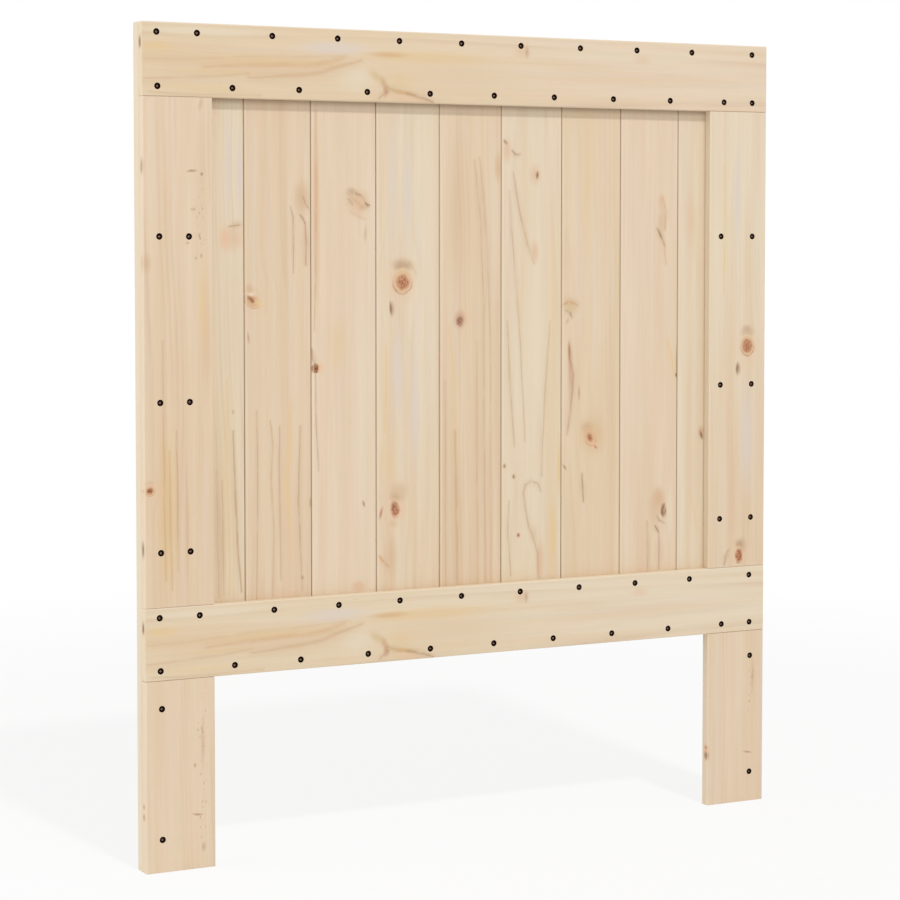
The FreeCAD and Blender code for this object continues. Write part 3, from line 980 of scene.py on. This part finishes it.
def pine_material(name, seed):
    """The pine of one board: its own rings and colour, its marks, then painted shade and painted highlights
    at its edges.
    """
    marks = MARKS.get(TWINS.get(name, name), [])
    material = bpy.data.materials.new(f"pine_{name}")
    graph = empty_graph(material)
    board = Board(name, graph)
    pine = plain_pine(graph, board, marks, seed, *LOOKS[name])
    colour = plain_sides(graph, board, pine["Color"])
    colour, relief = lay_marks(graph, board, marks, seed, colour, pine["Relief"])
    # planks: painted shade at the joints and in the corners under the top rail and beside the stiles, and a
    # painted highlight along one arris
    if name.startswith("plank"):
        colour = plank_edges(graph, board, colour)
        colour = corner_painted_shade(graph, board, colour)
    # the other boards but the posts: a painted highlight along one arris
    elif not name.endswith("post"):
        colour = painted_arris_highlight(graph, board, colour, 1.1)
    finish_material(graph, colour, pine["Roughness"], relief, shine=0.3, bumps=0.35, bump_mm=0.15)
    return material


def screw_material(head_top):
    """Black phosphate steel, lighter pinkish grey in patches inside the cross recess."""
    material = bpy.data.materials.new("black_screw")
    graph = empty_graph(material)
    place = graph.node("ShaderNodeTexCoord").outputs["Object"]
    split = graph.node("ShaderNodeSeparateXYZ")
    graph.feed(split.inputs[0], place)
    sunk = graph.over(graph.minus(split.outputs["Y"], head_top), mm)
    scaled = graph.node("ShaderNodeVectorMath", operation="SCALE")
    graph.feed(scaled.inputs[0], place)
    scaled.inputs["Scale"].default_value = 1 / mm
    mottle = graph.noise(scaled.outputs[0], 4.0, 0.6)
    recess_lighter = graph.times(graph.smooth(sunk, 0.5, 1.3), graph.smooth(mottle, 0.2, 0.5, 0.7))
    coat = graph.mix(graph.smooth(mottle, 0.35, 0.7), BLACK, SOOT)
    colour = graph.mix(recess_lighter, coat, RECESS_GREY)
    rough = graph.smooth(mottle, 0.3, 0.8, 0.45, 0.6)
    finish_material(graph, colour, rough, mottle, shine=0.02, bumps=0.2, bump_mm=0.05)
    return material


def dress_boards():
    """Gives every board its pine and every group of screws its black steel."""
    first_seed = 3.0
    seed_step = 7.3
    seeds = {name: first_seed + index * seed_step for index, name in enumerate(LOOKS)}
    for name in LOOKS:
        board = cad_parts[name]
        board.data.materials.clear()
        board.data.materials.append(pine_material(name, seeds[TWINS.get(name, name)]))
    screws = [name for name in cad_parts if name.endswith("_screws")]
    head_top = min(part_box(name)[0][1] for name in screws)
    steel = screw_material(head_top)
    for name in screws:
        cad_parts[name].data.materials.clear()
        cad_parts[name].data.materials.append(steel)


def seen_directly(graph):
    """1 for rays that show the background: from the camera, off gloss and through glass."""
    path = graph.node("ShaderNodeLightPath").outputs
    either = graph.math("MAXIMUM", path["Is Camera Ray"], path["Is Glossy Ray"])
    return graph.math("MAXIMUM", either, path["Is Transmission Ray"])


def add_floor():
    """A pale round floor that keeps a light shadow near the object and fades to white far from it."""
    bpy.ops.mesh.primitive_circle_add(vertices=96, radius=floor_radius, fill_type="NGON")
    floor = bpy.context.object
    floor.name = "floor"
    material = bpy.data.materials.new("pale_floor")
    graph = empty_graph(material)
    distance = graph.node("ShaderNodeVectorMath", operation="LENGTH")
    graph.feed(distance.inputs[0], graph.node("ShaderNodeTexCoord").outputs["Object"])
    seen = seen_directly(graph)
    wash = graph.smooth(distance.outputs["Value"], floor_fade_start, floor_fade_end, floor_wash)
    paint = graph.node("ShaderNodeBsdfDiffuse")
    paint.inputs["Color"].default_value = (*floor_tone, 1.0)
    white = graph.node("ShaderNodeEmission")
    white.inputs["Strength"].default_value = 1.0
    blend = graph.node("ShaderNodeMixShader")
    graph.feed(blend.inputs[0], graph.times(wash, seen))
    graph.feed(blend.inputs[1], paint.outputs[0])
    graph.feed(blend.inputs[2], white.outputs[0])
    output = graph.node("ShaderNodeOutputMaterial")
    graph.feed(output.inputs["Surface"], blend.outputs[0])
    floor.data.materials.append(material)


def light_world():
    """An even pale sky for light, and plain white where it is seen."""
    world = bpy.data.worlds.new("studio")
    scene.world = world
    graph = empty_graph(world)
    background = graph.node("ShaderNodeBackground")
    background.inputs["Color"].default_value = (1.0, 1.0, 1.0, 1.0)
    seen = seen_directly(graph)
    graph.feed(background.inputs["Strength"], graph.math("MULTIPLY_ADD", seen, 1.0 - sky_level, sky_level))
    output = graph.node("ShaderNodeOutputWorld")
    graph.feed(output.inputs["Surface"], background.outputs[0])


def add_lamp(name, place, watts, size):
    """A soft panel that faces the middle of the object and isn't seen itself."""
    light = bpy.data.lights.new(name, "AREA")
    light.shape = "RECTANGLE"
    light.size, light.size_y = size
    light.energy = watts
    lamp = bpy.data.objects.new(name, light)
    lamp.location = place
    lamp.rotation_mode = "QUATERNION"
    lamp.rotation_quaternion = (Vector((0, 0, aim_height)) - place).to_track_quat("-Z", "Y")
    lamp.visible_camera = False
    scene.collection.objects.link(lamp)


def add_camera():
    """The photograph's viewpoint."""
    data = bpy.data.cameras.new("view")
    data.sensor_width = sensor_mm
    data.lens = view_lens_mm
    data.shift_y = view_shift
    camera = bpy.data.objects.new("view", data)
    camera.location = view_place
    ahead = Vector((
        math.sin(view_turn) * math.cos(view_tilt),
        math.cos(view_turn) * math.cos(view_tilt),
        math.sin(view_tilt),
    ))
    camera.rotation_mode = "QUATERNION"
    camera.rotation_quaternion = ahead.to_track_quat("-Z", "Y")
    scene.collection.objects.link(camera)
    scene.camera = camera


dress_boards()
add_floor()
light_world()
add_lamp("key", key_place, key_watts, key_size)
add_lamp("side", side_place, side_watts, side_size)
add_camera()
scene.view_settings.view_transform = "Standard"
